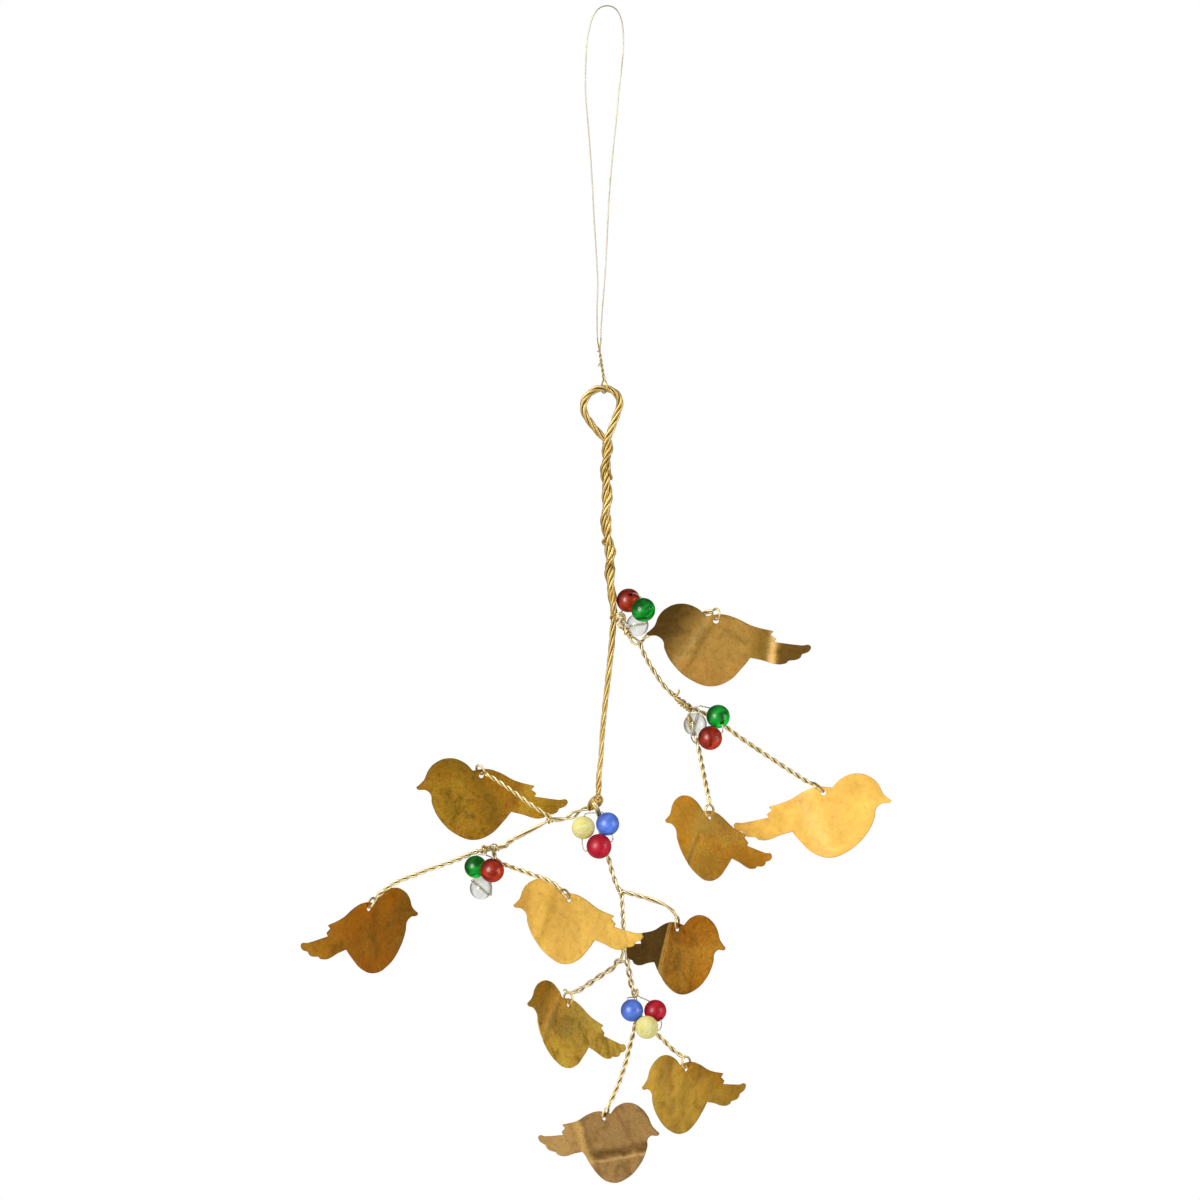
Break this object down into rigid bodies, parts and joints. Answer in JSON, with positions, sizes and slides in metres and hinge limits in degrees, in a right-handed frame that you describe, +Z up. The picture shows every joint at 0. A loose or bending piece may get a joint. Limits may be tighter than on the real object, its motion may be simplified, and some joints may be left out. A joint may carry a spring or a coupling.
{
  "type": "bird ornament",
  "caption": "Hanging ornament of twisted brass wire: flat sheet-brass birds swing on wire loops from drooping branches, among clusters of coloured glass beads on fine wire.",
  "frame": {"origin": "top of the hanging loop, where the hook carries the ornament", "axes": "+Z up, the front looks towards -Y, +X to the right as seen from the front"},
  "size_m": [0.1228, 0.0351, 0.2468],
  "materials": {
    "brass_wire": "drawn brass wire, twisted, slightly aged, semi-bright",
    "fine_wire": "fine pale brass wire, bright",
    "brass_sheet": "thin cut brass sheet, satin, scratched and unevenly tarnished",
    "red_glass": "transparent red glass, glossy",
    "green_glass": "transparent green glass, glossy",
    "clear_glass": "clear glass, glossy",
    "blue_glass": "opaque cornflower-blue glass, soft gloss",
    "crimson_glass": "near-opaque crimson glass, soft gloss",
    "yellow_glass": "milky pale yellow glass, soft gloss"
  },
  "bodies": {
    "hanger": {"hanging_loop": "fine_wire", "hanger_twist": "fine_wire"},
    "frame": {"main_stem": "brass_wire", "bead_wire_1": "fine_wire", "bead_wire_2": "fine_wire", "bead_wire_3": "fine_wire", "bead_wire_4": "fine_wire", "bead_wire_5": "fine_wire", "bird_10_wire": "brass_wire", "bird_1_wire": "brass_wire", "bird_2_wire": "brass_wire", "bird_3_wire": "brass_wire", "bird_4_wire": "brass_wire", "bird_5_wire": "brass_wire", "bird_6_wire": "brass_wire", "bird_7_wire": "brass_wire", "bird_8_wire": "brass_wire", "bird_9_wire": "brass_wire", "centre_branch": "brass_wire", "left_branch": "brass_wire", "left_knot": "brass_wire", "lower_branch": "brass_wire", "right_branch": "brass_wire", "right_knot": "brass_wire", "right_wrap": "brass_wire", "stem_knot": "brass_wire"},
    "bird_1": {"bird_1": "brass_sheet"},
    "bird_2": {"bird_2": "brass_sheet"},
    "bird_3": {"bird_3": "brass_sheet"},
    "bird_4": {"bird_4": "brass_sheet"},
    "bird_5": {"bird_5": "brass_sheet"},
    "bird_6": {"bird_6": "brass_sheet"},
    "bird_7": {"bird_7": "brass_sheet"},
    "bird_8": {"bird_8": "brass_sheet"},
    "bird_9": {"bird_9": "brass_sheet"},
    "bird_10": {"bird_10": "brass_sheet"},
    "bead_1_clear": {"bead_1_clear": "clear_glass"},
    "bead_1_green": {"bead_1_green": "green_glass"},
    "bead_1_red": {"bead_1_red": "red_glass"},
    "bead_2_clear": {"bead_2_clear": "clear_glass"},
    "bead_2_green": {"bead_2_green": "green_glass"},
    "bead_2_red": {"bead_2_red": "red_glass"},
    "bead_3_clear": {"bead_3_clear": "clear_glass"},
    "bead_3_green": {"bead_3_green": "green_glass"},
    "bead_3_red": {"bead_3_red": "red_glass"},
    "bead_4_blue": {"bead_4_blue": "blue_glass"},
    "bead_4_crimson": {"bead_4_crimson": "crimson_glass"},
    "bead_4_yellow": {"bead_4_yellow": "yellow_glass"},
    "bead_5_blue": {"bead_5_blue": "blue_glass"},
    "bead_5_crimson": {"bead_5_crimson": "crimson_glass"},
    "bead_5_yellow": {"bead_5_yellow": "yellow_glass"}
  },
  "joints": [
    {"name": "hanger_swing", "type": "hinge", "parent": "hanger", "child": "frame", "pos_m": [-0.0008, 0, -0.08406], "axis": [0, 1, 0], "range_deg": [-25, 25]},
    {"name": "bird_1_swing", "type": "hinge", "parent": "frame", "child": "bird_1", "pos_m": [0.02275, -0.0065, -0.12908], "axis": [0.0523, -0.9986, 0], "range_deg": [-30, 30]},
    {"name": "bird_2_swing", "type": "hinge", "parent": "frame", "child": "bird_2", "pos_m": [0.02138, -0.006, -0.17007], "axis": [-0.7943, -0.5985, -0.1045], "range_deg": [-30, 30]},
    {"name": "bird_3_swing", "type": "hinge", "parent": "frame", "child": "bird_3", "pos_m": [0.04573, 0.007, -0.16547], "axis": [0.2756, 0.9613, 0], "range_deg": [-30, 18]},
    {"name": "bird_4_swing", "type": "hinge", "parent": "frame", "child": "bird_4", "pos_m": [-0.02638, 0.001, -0.16161], "axis": [0.3718, -0.9203, -0.1219], "range_deg": [-30, 30]},
    {"name": "bird_5_swing", "type": "hinge", "parent": "frame", "child": "bird_5", "pos_m": [-0.04983, -0.005, -0.18926], "axis": [-0.7485, 0.6622, 0.0349], "range_deg": [-22, 30]},
    {"name": "bird_6_swing", "type": "hinge", "parent": "frame", "child": "bird_6", "pos_m": [-0.00799, -0.0065, -0.1873], "axis": [-0.6285, -0.7761, -0.0523], "range_deg": [-22, 30]},
    {"name": "bird_7_swing", "type": "hinge", "parent": "frame", "child": "bird_7", "pos_m": [0.01471, -0.002, -0.19371], "axis": [0.7244, 0.6874, 0.0523], "range_deg": [-30, 30]},
    {"name": "bird_8_swing", "type": "hinge", "parent": "frame", "child": "bird_8", "pos_m": [-0.00817, -0.004, -0.20941], "axis": [0.8041, -0.563, 0.1908], "range_deg": [-30, 30]},
    {"name": "bird_9_swing", "type": "hinge", "parent": "frame", "child": "bird_9", "pos_m": [0.0167, 0.004, -0.22353], "axis": [-0.7695, -0.6121, 0.1822], "range_deg": [-30, 30]},
    {"name": "bird_10_swing", "type": "hinge", "parent": "frame", "child": "bird_10", "pos_m": [-0.00072, -0.005, -0.23305], "axis": [0.6461, 0.7432, 0.1736], "range_deg": [-25, 30]},
    {"name": "bead_1_clear_spin", "type": "hinge", "parent": "frame", "child": "bead_1_clear", "pos_m": [0.0064, 0.0026, -0.13019], "axis": [-0.7268, 0.6807, -0.0923], "continuous": true},
    {"name": "bead_1_green_spin", "type": "hinge", "parent": "frame", "child": "bead_1_green", "pos_m": [0.0076, -0.0025, -0.127], "axis": [0.17, 0.39, -0.905], "continuous": true},
    {"name": "bead_1_red_spin", "type": "hinge", "parent": "frame", "child": "bead_1_red", "pos_m": [0.00452, 0.0013, -0.12503], "axis": [0.2103, -0.8211, 0.5307], "continuous": true},
    {"name": "bead_2_clear_spin", "type": "hinge", "parent": "frame", "child": "bead_2_clear", "pos_m": [0.01849, -0.0018, -0.15105], "axis": [-0.2996, 0.0999, -0.9488], "continuous": true},
    {"name": "bead_2_green_spin", "type": "hinge", "parent": "frame", "child": "bead_2_green", "pos_m": [0.02329, -0.0018, -0.14938], "axis": [-0.2805, 0.7715, 0.5711], "continuous": true},
    {"name": "bead_2_red_spin", "type": "hinge", "parent": "frame", "child": "bead_2_red", "pos_m": [0.02156, -0.0047, -0.15381], "axis": [0.905, 0.17, 0.39], "continuous": true},
    {"name": "bead_3_clear_spin", "type": "hinge", "parent": "frame", "child": "bead_3_clear", "pos_m": [-0.02641, -0.0014, -0.18538], "axis": [0.8, 0, -0.6], "continuous": true},
    {"name": "bead_3_green_spin", "type": "hinge", "parent": "frame", "child": "bead_3_green", "pos_m": [-0.02754, -0.0026, -0.18085], "axis": [-0.087, 0.3291, -0.9403], "continuous": true},
    {"name": "bead_3_red_spin", "type": "hinge", "parent": "frame", "child": "bead_3_red", "pos_m": [-0.02401, -0.0061, -0.18143], "axis": [0.087, -0.3291, 0.9403], "continuous": true},
    {"name": "bead_4_blue_spin", "type": "hinge", "parent": "frame", "child": "bead_4_blue", "pos_m": [0.00012, -0.0025, -0.17187], "axis": [-0.3611, 0.3009, 0.8827], "continuous": true},
    {"name": "bead_4_crimson_spin", "type": "hinge", "parent": "frame", "child": "bead_4_crimson", "pos_m": [-0.00168, -0.0036, -0.17651], "axis": [0.9312, 0.1001, 0.3505], "continuous": true},
    {"name": "bead_4_yellow_spin", "type": "hinge", "parent": "frame", "child": "bead_4_yellow", "pos_m": [-0.00497, -0.0029, -0.17263], "axis": [-0.099, 0.099, -0.9901], "continuous": true},
    {"name": "bead_5_blue_spin", "type": "hinge", "parent": "frame", "child": "bead_5_blue", "pos_m": [0.00521, -0.0025, -0.21095], "axis": [0.3724, -0.2013, -0.906], "continuous": true},
    {"name": "bead_5_crimson_spin", "type": "hinge", "parent": "frame", "child": "bead_5_crimson", "pos_m": [0.01012, -0.0022, -0.21105], "axis": [-0.4352, 0.5373, 0.7224], "continuous": true},
    {"name": "bead_5_yellow_spin", "type": "hinge", "parent": "frame", "child": "bead_5_yellow", "pos_m": [0.00831, -0.0053, -0.21427], "axis": [0.9621, 0.1013, -0.2532], "continuous": true}
  ]
}
